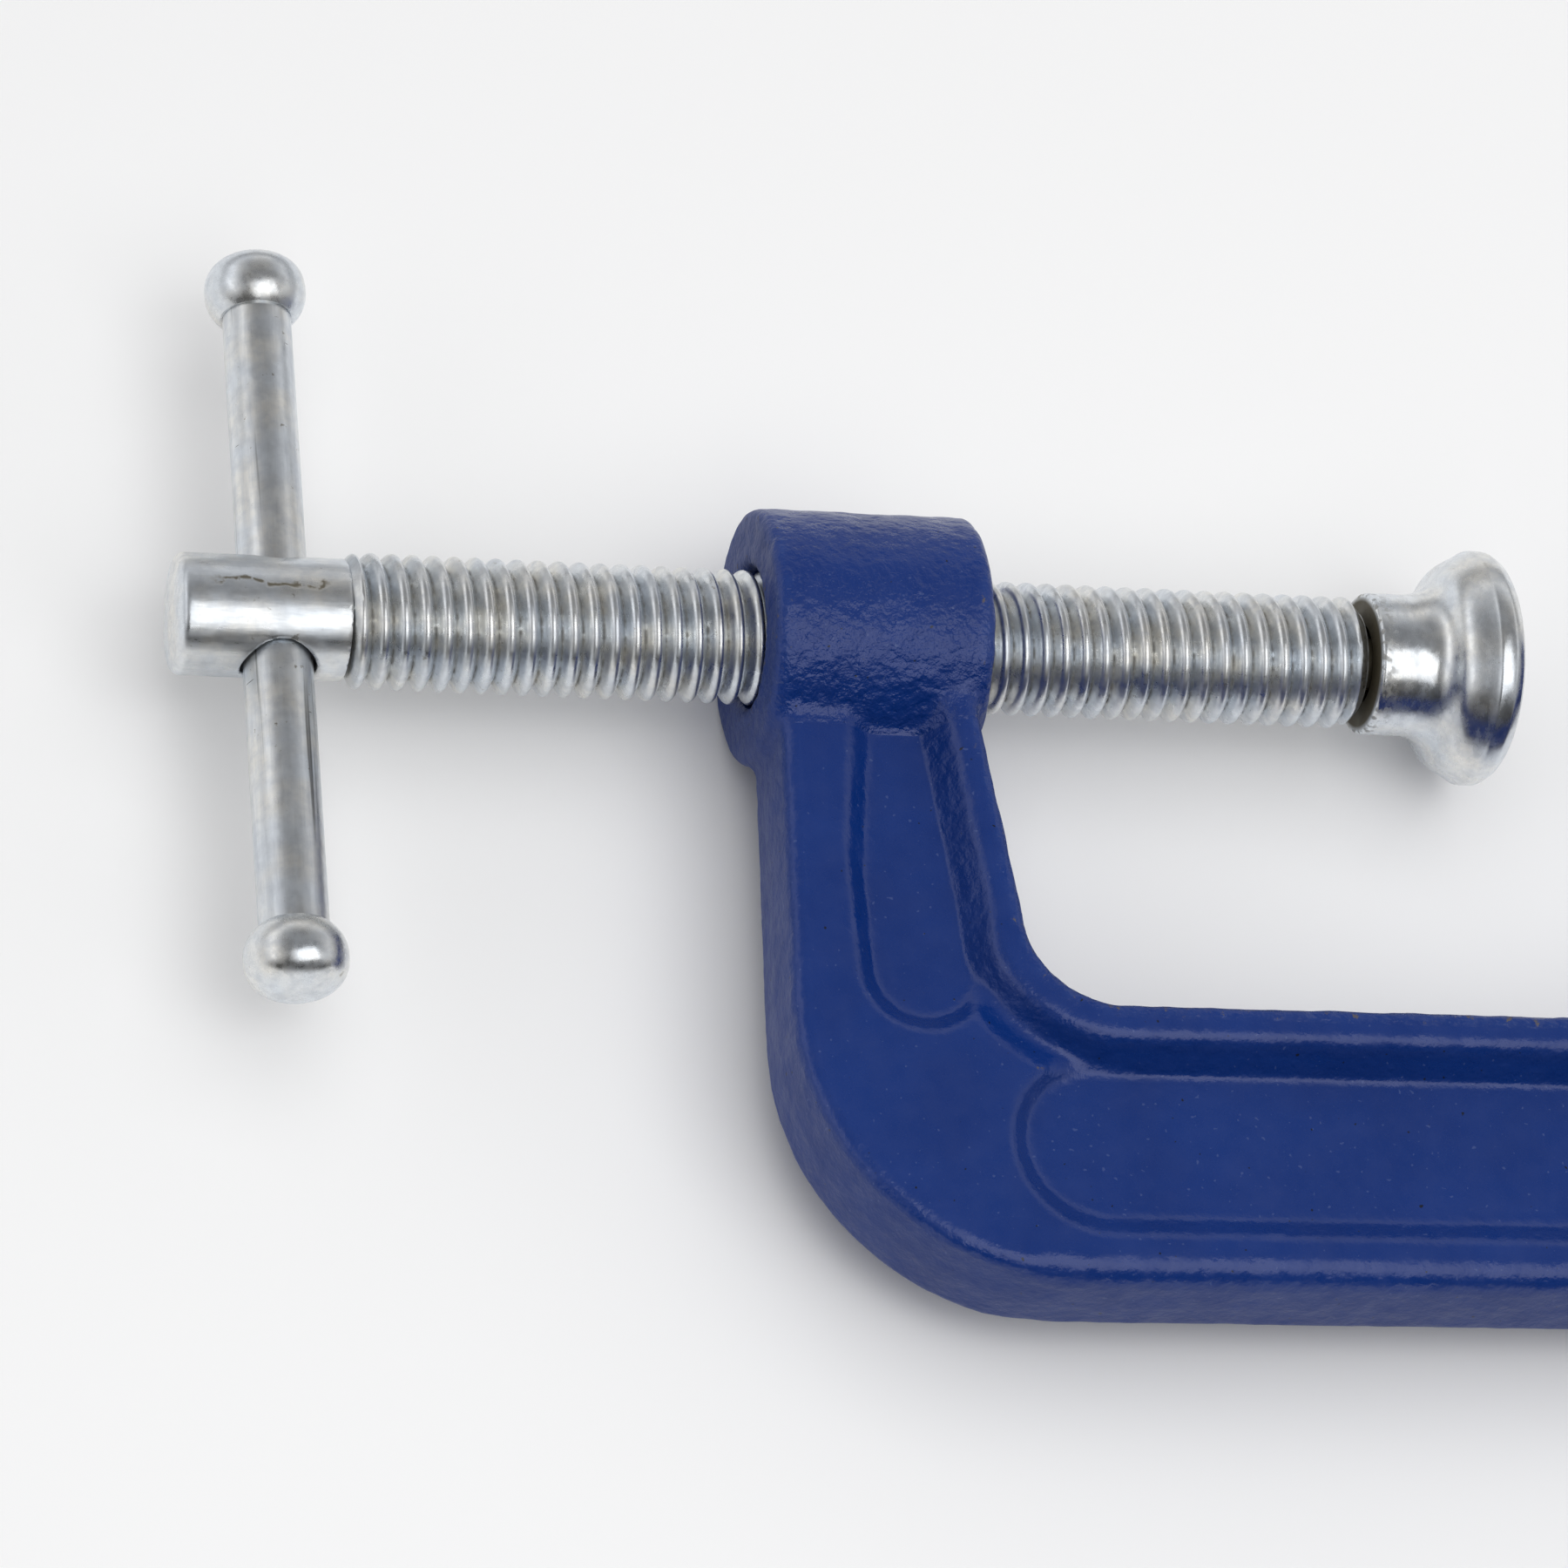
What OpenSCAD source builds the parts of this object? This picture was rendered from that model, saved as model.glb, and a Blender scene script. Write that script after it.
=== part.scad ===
// C clamp with a cast frame, a sliding tommy bar and a swivel pad.
// Millimetres. X runs along the screw towards the anvil, Y from the spine (-Y) to the screw axis,
// Z up. The clamp lies on its side. The origin is the centre of the anvil's clamping face.

/* [Frame] */
// Gap between the boss and the anvil's face, measured along the screw
jaw_span = 115.2; // [100:0.1:140]
// Distance from the screw axis to the throat side of the spine
throat_depth = 51; // [45:0.5:70]
// Depth of the spine, from the throat to the outer edge
spine_depth = 34.5; // [32:0.5:40]
// Radius of the outer corners
corner_r = 32.2; // [26:0.1:34]
// Radius of the two throat corners
throat_r = 10.6; // [8:0.1:14]
// Thickness of the throat flange
throat_flange_t = 20; // [18:0.5:24]
// Width of the throat flange
throat_flange_w = 4.6; // [4:0.1:6]
// Thickness of the outer flange
outer_flange_t = 15.2; // [14:0.2:17]
// Thickness of the web at the floor of the panels
web_t = 11.2; // [8:0.2:13]

/* [Screw boss] */
// Diameter of the boss
boss_d = 30.9; // [29:0.1:34]
// Length of the boss
boss_len = 26.8; // [24:0.1:32]
// Diameter of the anvil
anvil_d = 29; // [27:0.5:30]

/* [Screw] */
// Outside diameter of the thread
thread_d = 16; // [14:0.1:16]
// Thread pitch
pitch = 2.5; // [2:0.5:3]
// Depth of the thread
thread_depth = 1.25; // [0.8:0.05:1.4]
// Thread standing out on the tommy bar's side of the boss, at rest
thread_out = 49; // [20:0.5:60]
// Thread length in all
thread_len = 124.5; // [110:0.5:140]
// Diameter of the head
head_d = 14.3; // [13:0.1:15.5]
// Length of the head
head_len = 19.9; // [18:0.1:24]

/* [Tommy bar] */
// Diameter of the bar
bar_d = 8.2; // [7:0.1:9]
// Length of the bar over its two balls
bar_len = 100; // [80:1:130]
// Diameter of a ball
ball_d = 11.8; // [11:0.1:14]
// Distance from the head's end to the bar's axis
bar_inset = 12.5; // [10:0.1:13]

/* [Swivel pad] */
// Diameter of the pad's face
pad_d = 28.6; // [24:0.1:32]
// Diameter of the pad's collar
collar_d = 17.2; // [16:0.1:19]
// Length of the pad
pad_len = 16.4; // [15:0.1:20]
// Diameter of the ball at the screw's nose
nose_d = 10; // [9:0.1:10.4]

/* [Fits] */
// Radial clearance of the thread in the boss
thread_fit = 0.05; // [0.02:0.01:0.1]
// Radial clearance of the bar in the head
bar_fit = 0.3; // [0.1:0.05:0.6]
// Radial clearance of the nose ball in the pad's seat
seat_fit = 0.3; // [0.1:0.05:0.4]

/* [Node] */
// Piece to draw

/* [Hidden] */
$fn = 96;
enamel = [0.13, 0.21, 0.47];
zinc = [0.74, 0.75, 0.76];
spring_steel = [0.35, 0.35, 0.37];

boss_x0 = -(boss_len + jaw_span);        // boss face on the tommy bar's side
boss_x1 = -jaw_span;                     // boss face on the jaw side
throat_x0 = boss_x1 + 1.1;               // throat side of the screw arm, at its foot
throat_x1 = 4;                           // throat side of the anvil arm, at its foot
mid_x = (throat_x0 + throat_x1) / 2;     // the frame is alike on both sides of this
foot_y = -throat_depth + throat_r;       // height of the throat corners' centres
outer_x0 = boss_x0 - 0.9;                // outer side of the screw arm, at its foot
outer_x1 = 2 * mid_x - outer_x0;
base_y = -throat_depth - spine_depth;    // outer edge of the spine
corner_y = base_y + corner_r;
arm_lean = 2.8;                          // how far the throat side leans over the arm's height
anvil_back = 24;                         // outer side of the anvil arm at the screw axis

head_x0 = boss_x0 - thread_out - head_len;
thread_x0 = boss_x0 - thread_out;
thread_x1 = thread_x0 + thread_len;
bar_x = head_x0 + bar_inset;
ball_y = (bar_len - ball_d) / 2;
socket = 3.6;                            // how far the bar goes into each ball

mouth_x = thread_x1 + 1.7;
pad_x1 = mouth_x + pad_len;
nose_x = pad_x1 - 8.6;
neck_d = 6.2;
lip_t = 1.4;                             // crimped lip at the pad's mouth
lip_d = 9.6;
ring_x = mouth_x + 2.7;
ring_t = 1.2;
eps = 0.01;

// A body of revolution about the screw axis, from points of [x, radius].
module turned(points) {
  rotate([0, 90, 0]) rotate([0, 0, 90]) rotate_extrude() polygon([for (p = points) [p[1], p[0]]]);
}

// ---------------------------------------------------------------- frame

// The open throat, made larger by g on every side.
module throat_2d(g = 0) {
  top_y = 30;
  polygon([[throat_x0 - arm_lean - g, top_y], [throat_x0 - arm_lean - g, -11], [throat_x0 - g, foot_y],
           [throat_x0 + throat_r, -throat_depth - g], [throat_x1 - throat_r, -throat_depth - g],
           [throat_x1 + g, foot_y], [throat_x1 + arm_lean + g, -11], [throat_x1 + arm_lean + g, top_y]]);
  for (x = [throat_x0 + throat_r, throat_x1 - throat_r]) translate([x, foot_y]) circle(throat_r + g);
}

// The outside of the frame, with the throat filled.
module outside_2d() {
  polygon([[boss_x0 + 2, 0], [boss_x0 + 1, -17], [outer_x0, corner_y + 2.3], [outer_x0, corner_y],
           [outer_x0 + corner_r, base_y], [outer_x1 - corner_r, base_y],
           [outer_x1, corner_y], [outer_x1, corner_y + 2.3], [anvil_back, 0]]);
  for (x = [outer_x0 + corner_r, outer_x1 - corner_r]) translate([x, corner_y]) circle(corner_r);
}

// A plate of the frame's C shape.
module c_plate(t) {
  linear_extrude(t, center = true) difference() {
    outside_2d();
    throat_2d();
  }
}

// The thick flange that runs along the throat.
module throat_flange() {
  linear_extrude(throat_flange_t, center = true) difference() {
    intersection() {
      outside_2d();
      throat_2d(throat_flange_w);
    }
    throat_2d();
  }
}

// A disc that is one corner of a sunken panel, for hull().
module spot(x, y, r, z) {
  translate([x, y, z]) cylinder(r = r, h = eps, $fn = 32);
}

floor_z = web_t / 2;
lip_z = throat_flange_t / 2 + eps;

// Sunken panel of the screw arm, with sloping sides and a round lower end.
module screw_arm_panel() {
  hull() {
    spot(boss_x0 + 12.4, -15, 1, floor_z);
    spot(boss_x0 + 16.6, -15, 1, floor_z);
    spot(boss_x0 + 14.8, -46.2, 5.8, floor_z);
    spot(boss_x0 + 7.2, -12, 1, lip_z);
    spot(boss_x0 + 19.2, -12, 1, lip_z);
    spot(boss_x0 + 14, -47.2, 9.8, lip_z);
  }
}

// Sunken panel of the anvil arm.
module anvil_arm_panel() {
  hull() {
    spot(throat_x1 + 9.6, -16, 1, floor_z);
    spot(throat_x1 + 12.2, -16, 1, floor_z);
    spot(2 * mid_x - boss_x0 - 14.8, -46.2, 5.8, floor_z);
    spot(throat_x1 + 6.9, -12, 1, lip_z);
    spot(throat_x1 + 15.4, -12, 1, lip_z);
    spot(2 * mid_x - boss_x0 - 14, -47.2, 9.8, lip_z);
  }
}

// Sunken panel of the spine.
module spine_panel() {
  end_x = boss_x0 + 33.8;
  hull() for (x = [end_x, 2 * mid_x - end_x]) {
    spot(x, -throat_depth - 16.1, 8.6, floor_z);
    spot(x + (x < mid_x ? 1.2 : -1.2), -throat_depth - 18, 13.4, lip_z);
  }
}

module panels() {
  screw_arm_panel();
  anvil_arm_panel();
  spine_panel();
}

module boss() {
  r = boss_d / 2;
  turned([[boss_x0, 0], [boss_x0, r - 0.8], [boss_x0 + 0.8, r], [boss_x1 - 1.2, r], [boss_x1, r - 1.2],
          [boss_x1, 0]]);
}

module anvil() {
  r = anvil_d / 2;
  turned([[0, 0], [0, r - 0.7], [0.7, r], [14, r], [19, r - 1.4], [anvil_back - 1, r - 4.2],
          [anvil_back, r - 6], [anvil_back, 0]]);
}

module frame() {
  bore_r = thread_d / 2 + thread_fit;
  color(enamel) difference() {
    union() {
      difference() {
        union() {
          c_plate(outer_flange_t);
          throat_flange();
        }
        panels();
        mirror([0, 0, 1]) panels();
      }
      boss();
      anvil();
    }
    translate([boss_x0 - 1, 0, 0]) rotate([0, 90, 0]) cylinder(r = bore_r, h = boss_len + 2);
  }
}

// ---------------------------------------------------------------- screw

module spindle() {
  r = thread_d / 2;
  root = r - thread_depth;
  crests = floor(thread_len / pitch);
  run_out = (thread_len - crests * pitch) / 2;
  ridges = [for (i = [0 : crests - 1]) for (p = [[0, root], [0.5, r]])
            [thread_x0 + run_out + (i + p[0]) * pitch, p[1]]];
  color(zinc) difference() {
    union() {
      turned(concat([[head_x0, 0], [head_x0, head_d / 2 - 0.8], [head_x0 + 0.8, head_d / 2],
                     [thread_x0, head_d / 2], [thread_x0, root]],
                    ridges,
                    [[thread_x1, root], [thread_x1, neck_d / 2], [nose_x, neck_d / 2], [nose_x, 0]]));
      translate([nose_x, 0, 0]) sphere(nose_d / 2);
    }
    translate([bar_x, 0, 0]) rotate([90, 0, 0])
      cylinder(r = bar_d / 2 + bar_fit, h = head_d + 4, center = true);
  }
}

// ---------------------------------------------------------------- tommy bar

module tommy_bar() {
  color(zinc) translate([bar_x, 0, 0]) rotate([90, 0, 0])
    cylinder(d = bar_d, h = 2 * (ball_y - ball_d / 2 + socket), center = true);
}

// A ball pressed on one end of the bar; side is 1 for the far end and -1 for the near one.
module tommy_ball(side) {
  depth = ball_y - ball_d / 2 + socket;
  color(zinc) translate([bar_x, 0, 0]) rotate([-90 * side, 0, 0]) rotate_extrude() difference() {
    intersection() {
      translate([0, ball_y]) circle(ball_d / 2);
      translate([0, ball_y - ball_d]) square(2 * ball_d);
    }
    square([bar_d / 2, depth]);
  }
}

module tommy_ball_far() { tommy_ball(1); }

module tommy_ball_near() { tommy_ball(-1); }

// ---------------------------------------------------------------- swivel pad

module swivel_pad() {
  r = pad_d / 2;
  c = collar_d / 2;
  seat_r = nose_d / 2 + seat_fit;
  bore_r = seat_r + 0.9;
  flare_x = mouth_x + 6.2;
  flare = [for (a = [0 : 15 : 75]) [flare_x + 6.6 * sin(a), c + (r - c - 0.2) * (1 - cos(a)) / (1 - cos(75))]];
  color(zinc) difference() {
    turned(concat([[mouth_x, 0], [mouth_x, c - 0.5], [mouth_x + 0.5, c]], flare,
                  [[pad_x1 - 3.2, r], [pad_x1 - 0.7, r], [pad_x1, r - 0.7], [pad_x1, 0]]));
    translate([mouth_x - 1, 0, 0]) rotate([0, 90, 0]) cylinder(d = lip_d, h = lip_t + 2);
    translate([mouth_x + lip_t, 0, 0]) rotate([0, 90, 0])
      cylinder(r = bore_r, h = nose_x - 1.2 - mouth_x - lip_t);
    translate([nose_x - 1.3, 0, 0]) rotate([0, 90, 0]) cylinder(r = seat_r, h = 1.3);
    translate([nose_x, 0, 0]) sphere(seat_r);
  }
}

// Washer that holds the nose ball in the pad, behind the crimped lip.
module pad_retaining_ring() {
  color(spring_steel) translate([ring_x, 0, 0]) rotate([0, 90, 0]) difference() {
    cylinder(d = 10.4, h = ring_t);
    translate([0, 0, -1]) cylinder(d = 7.4, h = ring_t + 2);
  }
}

frame();
spindle();
tommy_bar();
tommy_ball_far();
tommy_ball_near();
swivel_pad();
pad_retaining_ring();
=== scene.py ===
"""Looks of a cast C clamp with a plated screw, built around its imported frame, in metres.

The clamp lies on its side: X runs along the screw towards the anvil, Y from the spine to the screw,
Z up. Shapes are worked out in millimetres and turned into metres when their mesh is made.
"""

import math
from itertools import product

import bmesh
import bpy
import numpy as np
from mathutils import Euler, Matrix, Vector


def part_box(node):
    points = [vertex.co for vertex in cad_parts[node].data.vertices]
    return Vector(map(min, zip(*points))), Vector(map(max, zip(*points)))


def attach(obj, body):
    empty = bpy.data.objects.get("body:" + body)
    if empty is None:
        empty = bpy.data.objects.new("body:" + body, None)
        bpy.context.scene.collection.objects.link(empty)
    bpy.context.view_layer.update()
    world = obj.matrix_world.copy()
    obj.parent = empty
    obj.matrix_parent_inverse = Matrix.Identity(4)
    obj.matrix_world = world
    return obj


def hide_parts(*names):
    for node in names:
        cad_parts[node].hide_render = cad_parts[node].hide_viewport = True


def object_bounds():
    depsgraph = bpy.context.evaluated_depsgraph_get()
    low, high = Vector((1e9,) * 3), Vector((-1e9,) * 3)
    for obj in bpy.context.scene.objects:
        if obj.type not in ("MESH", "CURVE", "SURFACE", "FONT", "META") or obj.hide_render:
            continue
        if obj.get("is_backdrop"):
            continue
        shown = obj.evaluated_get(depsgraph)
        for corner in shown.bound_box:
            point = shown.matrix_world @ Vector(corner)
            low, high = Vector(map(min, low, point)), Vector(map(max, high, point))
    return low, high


bl_info = {
    "name": "Cast C clamp",
    "version": (1, 0, 0),
    "blender": (4, 5, 0),
    "location": "View3D > Sidebar > C clamp",
    "description": "Builds the finished pieces of a cast C clamp over its CAD frame",
    "category": "Object",
}

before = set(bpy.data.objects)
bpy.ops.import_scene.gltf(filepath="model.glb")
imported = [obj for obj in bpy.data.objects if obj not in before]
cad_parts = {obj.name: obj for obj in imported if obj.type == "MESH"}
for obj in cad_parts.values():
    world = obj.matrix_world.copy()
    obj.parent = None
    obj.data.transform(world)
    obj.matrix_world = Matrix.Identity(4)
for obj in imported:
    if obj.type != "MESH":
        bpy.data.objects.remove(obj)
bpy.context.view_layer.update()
MM = 0.001
HEAD_LENGTH = 19.9                      # plain head of the screw, up to the thread
ANVIL_BACK = 24                         # outer side of the anvil's arm at the screw axis
SCAR_ANGLE = 1.50                       # place of the scar round the head, in radians from Y to Z
LIT_POINT = Vector((-0.12, -0.03, 0))   # what the soft lights face, in metres


def node_box(node):
    """Lowest and highest corner of a CAD node, in millimetres."""
    low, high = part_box(node)
    return np.array(low) / MM, np.array(high) / MM


FRAME_LOW, FRAME_HIGH = node_box("frame")
SPINDLE_LOW, SPINDLE_HIGH = node_box("spindle")
BAR_LOW, BAR_HIGH = node_box("tommy_bar")
BALL_LOW, BALL_HIGH = node_box("tommy_ball_far")
PAD_LOW, PAD_HIGH = node_box("swivel_pad")


def length(name, description, value_mm, low_mm=0.0, high_mm=500.0):
    """A length property, given in millimetres and kept in metres."""
    return bpy.props.FloatProperty(name=name, description=description, default=value_mm * MM,
                                   min=low_mm * MM, max=high_mm * MM, precision=4, unit="LENGTH")


def share(name, description, value):
    return bpy.props.FloatProperty(name=name, description=description, default=value,
                                   min=0.0, max=1.0, subtype="FACTOR")


def tint(name, description, value):
    return bpy.props.FloatVectorProperty(name=name, description=description, default=value,
                                         size=4, min=0.0, max=1.0, subtype="COLOR")


# ---------------------------------------------------------------- sizes a user may change


class ClampFrameSizes(bpy.types.PropertyGroup):
    throat_depth: length("Throat depth", "From the screw axis to the throat side of the spine", 51)
    throat_radius: length("Throat radius", "Radius of the two throat corners", 10.6)
    corner_radius: length("Corner radius", "Radius of the two outer corners", 32.2)
    rim_thickness: length("Rim thickness", "Thickness of the outer rim and the corners", 15.2)
    flange_thickness: length("Throat flange thickness", "Thickness of the flange along the throat", 20)
    flange_width: length("Throat flange width", "Width of the flange along the throat", 4.8)
    web_thickness: length("Web thickness", "Thickness at the floor of the panels", 10.5)
    boss_diameter: length("Boss diameter", "Diameter of the boss round the screw", 30.9)
    boss_length: length("Boss length", "Length of the boss along the screw", 26.8)
    anvil_diameter: length("Anvil diameter", "Diameter of the anvil", 29)
    edge_radius: length("Edge radius", "Roundness of the outer edges", 1.9)
    lip_radius: length("Panel lip radius", "Roundness of the edges of the panels", 0.55)
    fillet: length("Fillet", "Roundness where the boss and the anvil meet the arms", 1.3)
    draft: bpy.props.FloatProperty(name="Draft", description="Slope of the sides, from the mould",
                                   default=math.radians(3), subtype="ANGLE", unit="ROTATION")
    ripple: length("Ripple", "Height of the cast skin's ripples", 0.24)
    cell: length("Cell", "Size of the faces of the cast skin", 0.66)


class ClampScrewSizes(bpy.types.PropertyGroup):
    crest_diameter: length("Thread diameter", "Outside diameter of the thread", 16)
    thread_depth: length("Thread depth", "Depth of the thread", 1.48)
    pitch: length("Pitch", "Advance for one turn", 2.5)
    head_length: length("Head length", "Length of the plain head", HEAD_LENGTH)
    head_diameter: length("Head diameter", "Diameter of the plain head", 14.3)
    hole_diameter: length("Cross hole", "Diameter of the hole for the tommy bar", 8.9)
    neck_diameter: length("Neck diameter", "Diameter of the neck behind the nose ball", 6.2)
    nose_diameter: length("Nose diameter", "Diameter of the nose ball", 10)
    steps: bpy.props.IntProperty(name="Steps", description="Faces along one pitch", default=12, min=6)
    sides: bpy.props.IntProperty(name="Sides", description="Faces round the thread", default=72, min=24)


class ClampPadSizes(bpy.types.PropertyGroup):
    collar_diameter: length("Collar diameter", "Diameter of the pad's collar", 17.2)
    lip_diameter: length("Lip diameter", "Diameter of the crimped lip's opening", 9.6)
    lip_length: length("Lip length", "Thickness of the crimped lip", 1.4)
    bore_diameter: length("Bore", "Diameter of the hollow behind the lip", 12.4)
    rim_length: length("Rim", "Length of the rim behind the face", 3.4)


class ClampFinishes(bpy.types.PropertyGroup):
    enamel: tint("Enamel", "Main colour of the enamel", (0.0010, 0.0225, 0.152, 1))
    enamel_thin: tint("Thin enamel", "Colour where the enamel lies thin", (0.0018, 0.0265, 0.170, 1))
    iron: tint("Iron", "Colour of the casting in worn places", (0.085, 0.075, 0.085, 1))
    zinc_cool: tint("Cool zinc", "Bluish tone of the plating", (0.72, 0.76, 0.80, 1))
    zinc_warm: tint("Warm zinc", "Yellowish tone of the plating", (0.81, 0.80, 0.76, 1))
    # Also used for painted shade on the screw's neck and inside the pad's mouth.
    grease_and_shade: tint("Grease", "Old grease in the thread and the pad's mouth", (0.10, 0.085, 0.055, 1))
    enamel_gloss: share("Enamel roughness", "Roughness of the enamel", 0.27)
    zinc_gloss: share("Zinc roughness", "Roughness of the plating", 0.33)


class ClampStageSettings(bpy.types.PropertyGroup):
    floor_size: length("Floor size", "Side of the floor", 6000, 500, 20000)
    floor_colour: tint("Floor colour", "Colour of the floor", (0.95, 0.95, 0.95, 1))
    key_light: bpy.props.FloatProperty(name="Key light", description="Power of the soft key light",
                                       default=5.2, unit="POWER")
    top_light: bpy.props.FloatProperty(name="Top light", description="Power of the soft top light",
                                       default=9.5, unit="POWER")
    lens: bpy.props.FloatProperty(name="Lens", description="Focal length", default=148.783,
                                  unit="CAMERA")


# ---------------------------------------------------------------- finishes


class Finish:
    """One material, built node by node. Patterns read the piece's own object coordinates."""

    def __init__(self, name):
        self.material = bpy.data.materials.new(name)
        self.material.use_nodes = True
        tree = self.material.node_tree
        self.nodes, self.links = tree.nodes, tree.links
        self.shader = self.nodes["Principled BSDF"]
        self.place = self.add("ShaderNodeTexCoord").outputs["Object"]

    def put(self, socket, value):
        if isinstance(value, bpy.types.NodeSocket):
            self.links.new(value, socket)
        else:
            socket.default_value = value

    def add(self, kind, inputs=None, **settings):
        node = self.nodes.new(kind)
        for key, value in settings.items():
            setattr(node, key, value)
        for key, value in (inputs or {}).items():
            self.put(node.inputs[key], value)
        return node

    def set(self, **inputs):
        """Shader sockets by name, with _ for a space."""
        for key, value in inputs.items():
            self.put(self.shader.inputs[key.replace("_", " ")], value)

    def moved(self, scale):
        """The object coordinates, stretched by scale along each axis."""
        return self.add("ShaderNodeMapping", {"Vector": self.place, "Scale": scale}).outputs["Vector"]

    def noise(self, size_mm, detail=2.0, roughness=0.5, stretch=None):
        """Noise whose patches are about size_mm across, from 0 to 1."""
        vector = self.moved(stretch) if stretch else self.place
        return self.add("ShaderNodeTexNoise", {"Vector": vector, "Scale": 1 / (size_mm * MM),
                                               "Detail": detail, "Roughness": roughness}).outputs["Fac"]

    def span(self, value, low, high, to_low=0.0, to_high=1.0):
        return self.add("ShaderNodeMapRange", {"Value": value, "From Min": low, "From Max": high,
                                               "To Min": to_low, "To Max": to_high}).outputs["Result"]

    def math(self, kind, a, b=0.0):
        return self.add("ShaderNodeMath", {0: a, 1: b}, operation=kind).outputs[0]

    def mix(self, factor, a, b):
        return self.add("ShaderNodeMix", {0: factor, 6: a, 7: b}, data_type="RGBA").outputs[2]

    def attribute(self, name):
        return self.add("ShaderNodeAttribute", attribute_name=name).outputs["Fac"]

    def bump(self, height, distance_mm, strength=1.0, below=None):
        node = self.add("ShaderNodeBump", {"Height": height, "Distance": distance_mm * MM,
                                           "Strength": strength})
        if below is not None:
            self.links.new(below, node.inputs["Normal"])
        return node.outputs["Normal"]


def enamel_finish(colours):
    """Thick glossy enamel over a sand casting, with thin spots on the edges, a few specks and painted
    shade in the hollows.
    """
    f = Finish("hammered_blue_enamel")
    grain, edge, hollow = f.attribute("grain"), f.attribute("edge"), f.attribute("hollow")
    base = f.mix(f.span(f.noise(11, 3), 0.35, 0.68), tuple(colours.enamel), tuple(colours.enamel_thin))
    base = f.mix(f.math("MULTIPLY", edge, f.span(f.noise(2.5, 3), 0.35, 0.75, 0, 0.55)), base,
                 (0.014, 0.045, 0.20, 1))
    # Painted shade: the enamel is darkened in the hollows, corners and creases.
    base = f.mix(f.math("MULTIPLY", hollow, 0.6), base, (0.0009, 0.016, 0.105, 1))
    chips = f.math("MULTIPLY", f.span(edge, 0.35, 0.7), f.span(f.noise(1.6, 4, 0.7), 0.63, 0.67))
    base = f.mix(chips, base, tuple(colours.iron))
    specks = f.span(f.noise(0.85, 1, 0.4), 0.775, 0.79)
    base = f.mix(specks, base, (0.004, 0.006, 0.012, 1))
    dust = f.math("MULTIPLY", f.span(f.noise(0.5, 0), 0.81, 0.83), 0.3)
    base = f.mix(dust, base, (0.10, 0.14, 0.30, 1))
    gloss = f.math("ADD", f.span(f.noise(3.2, 3), 0.3, 0.75, colours.enamel_gloss - 0.05,
                                 colours.enamel_gloss + 0.10), f.math("MULTIPLY", chips, 0.3))
    gloss = f.math("ADD", gloss, f.math("MULTIPLY", f.attribute("side"), 0.26))
    peel = f.bump(f.math("MULTIPLY", f.noise(1.6, 3, 0.5), f.span(grain, 0, 1, 0.18, 1)), 0.42)
    rough = f.bump(f.math("MULTIPLY", f.noise(0.7, 3, 0.6), f.span(grain, 0.3, 1)), 0.13, below=peel)
    fine = f.bump(f.noise(0.32, 2), 0.014, below=rough)
    f.set(Base_Color=base, Roughness=gloss, Normal=fine)
    f.shader.inputs["Specular IOR Level"].default_value = 0.6
    f.shader.inputs["Specular Tint"].default_value = (0.80, 0.82, 1.0, 1.0)
    return f.material


def zinc_finish(name, colours, stretch, dirt_and_shade=None, marks=1.0, scored=False, polish=0.0):
    """Bright zinc plating: cool and warm clouds, drawing lines along stretch, scratches and, where a
    mask function is given, grime and painted shade.
    """
    f = Finish(name)
    clouds = f.span(f.noise(5.5, 3), 0.38, 0.66)
    base = f.mix(clouds, tuple(colours.zinc_cool), tuple(colours.zinc_warm))
    lines = f.noise(1.0, 4, 0.65, stretch=stretch)
    base = f.mix(f.span(lines, 0.45, 0.8, 0, 0.45 * marks), base, (0.50, 0.53, 0.58, 1))
    base = f.mix(f.span(f.noise(1.7, 4, 0.6), 0.42, 0.68, 0, 0.5), base, (0.52, 0.55, 0.59, 1))
    stains = f.math("MULTIPLY", f.span(f.noise(1.5, 4, 0.7), 0.66, 0.74), 0.7 * marks)
    base = f.mix(stains, base, (0.26, 0.24, 0.20, 1))
    if scored:
        along = f.noise(1.0, 2, 0.5, stretch=[part ** 1.5 for part in stretch])
        across = f.noise(0.55, 2, 0.5, stretch=[1.0 if part < 1 else 0.15 for part in stretch])
        cuts = f.math("MAXIMUM", f.span(along, 0.61, 0.68), f.span(across, 0.74, 0.76))
        base = f.mix(f.math("MULTIPLY", cuts, 0.8), base, (0.13, 0.125, 0.12, 1))
    mean = colours.zinc_gloss - polish
    gloss = f.span(lines, 0.3, 0.75, mean - 0.08, mean + 0.12)
    gloss = f.math("ADD", gloss, f.span(f.noise(2.4, 2), 0.4, 0.7, 0, 0.08))
    if dirt_and_shade is not None:
        amount = dirt_and_shade(f)
        # Darkened by the mask: real grime, specks and the head's scar, and painted shade by and inside
        # the pad's mouth.
        base = f.mix(amount, base, tuple(colours.grease_and_shade))
        gloss = f.math("ADD", gloss, f.math("MULTIPLY", amount, 0.30))
        f.set(Metallic=f.span(amount, 0, 1, 1, 0.35))
    else:
        f.set(Metallic=1.0)
    drawn = f.bump(lines, 0.012 * marks + 0.004)
    dents = f.bump(f.noise(3.4, 2), 0.05 * marks, below=drawn)
    f.set(Base_Color=base, Roughness=gloss, Normal=dents)
    return f.material


def screw_place(f):
    """Distance of the surface from the screw axis, and its coordinates one by one, in metres."""
    split = f.add("ShaderNodeSeparateXYZ", {0: f.place}).outputs
    square = f.math("ADD", f.math("MULTIPLY", split["Y"], split["Y"]),
                    f.math("MULTIPLY", split["Z"], split["Z"]))
    return f.math("SQRT", square), split


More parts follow.
